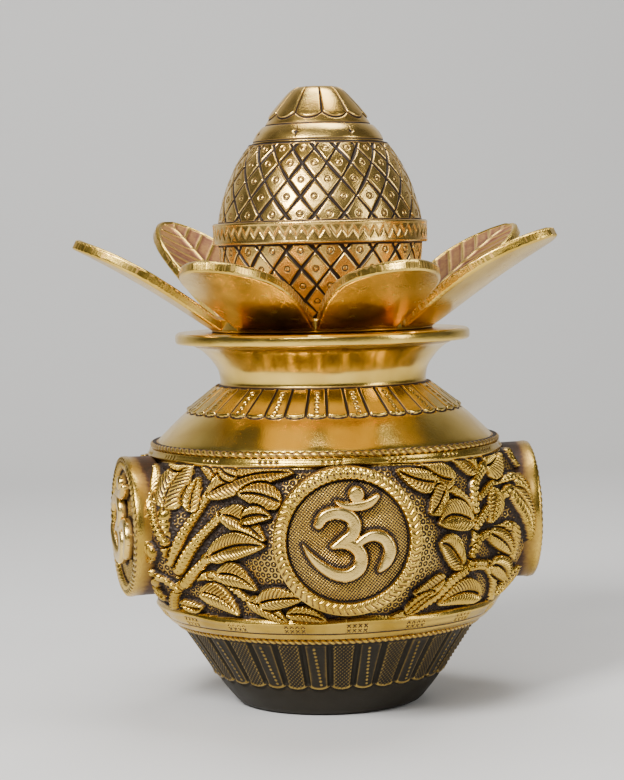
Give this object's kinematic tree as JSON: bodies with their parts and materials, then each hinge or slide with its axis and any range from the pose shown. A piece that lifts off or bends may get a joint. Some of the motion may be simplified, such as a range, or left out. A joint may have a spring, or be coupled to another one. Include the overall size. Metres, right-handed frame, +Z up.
{
  "type": "brass kalash pot",
  "caption": "Round-bellied brass kalash with raised foliage and medallions, closed by a lift-off lid of mango leaves round a coconut.",
  "frame": {"origin": "middle of the flat base that the pot stands on, on the pot's axis", "axes": "+Z up along the pot's axis; -Y through the middle of the front medallion; +X to the right as seen from the front"},
  "size_m": [0.1929, 0.1995, 0.254],
  "materials": {
    "polished_brass": "polished, with brown left in the creases",
    "leaf_brass": "polished outside, filed edges, reddish antique inside",
    "antique_brass": "antique, dark brown in the relief and rubbed bright on top",
    "sign_brass": "rubbed bright",
    "bowl_brass": "dark antique",
    "plain_brass": "turned"
  },
  "bodies": {
    "pot": {"lower_bowl": "bowl_brass", "lower_rope_ring": "antique_brass", "belly_band": "antique_brass", "upper_rope_ring": "antique_brass", "shoulder": "polished_brass", "neck": "polished_brass", "medallion_front": "antique_brass", "medallion_right": "antique_brass", "medallion_back": "antique_brass", "medallion_left": "antique_brass", "om_front": "sign_brass", "om_right": "sign_brass", "om_back": "sign_brass", "om_left": "sign_brass", "crescent_front": "sign_brass", "crescent_right": "sign_brass", "crescent_back": "sign_brass", "crescent_left": "sign_brass"},
    "collar": {"locating_collar": "plain_brass"},
    "lid": {"crown_cup": "polished_brass", "leaf_1": "leaf_brass", "leaf_2": "leaf_brass", "leaf_3": "leaf_brass", "leaf_4": "leaf_brass", "leaf_5": "leaf_brass", "leaf_6": "leaf_brass", "leaf_7": "leaf_brass", "coconut_lower": "antique_brass", "coconut_belt": "antique_brass", "coconut_upper": "antique_brass", "coconut_cap": "antique_brass", "lid_stud": "plain_brass", "lid_washer": "plain_brass", "lid_nut": "plain_brass"}
  },
  "joints": [
    {"name": "lid_lift", "type": "slide", "parent": "pot", "child": "collar", "axis": [0, 0, 1], "range_m": [0, 0.12]},
    {"name": "lid_turn", "type": "hinge", "parent": "collar", "child": "lid", "pos_m": [0, 0, 0.154], "axis": [0, 0, 1], "continuous": true}
  ]
}
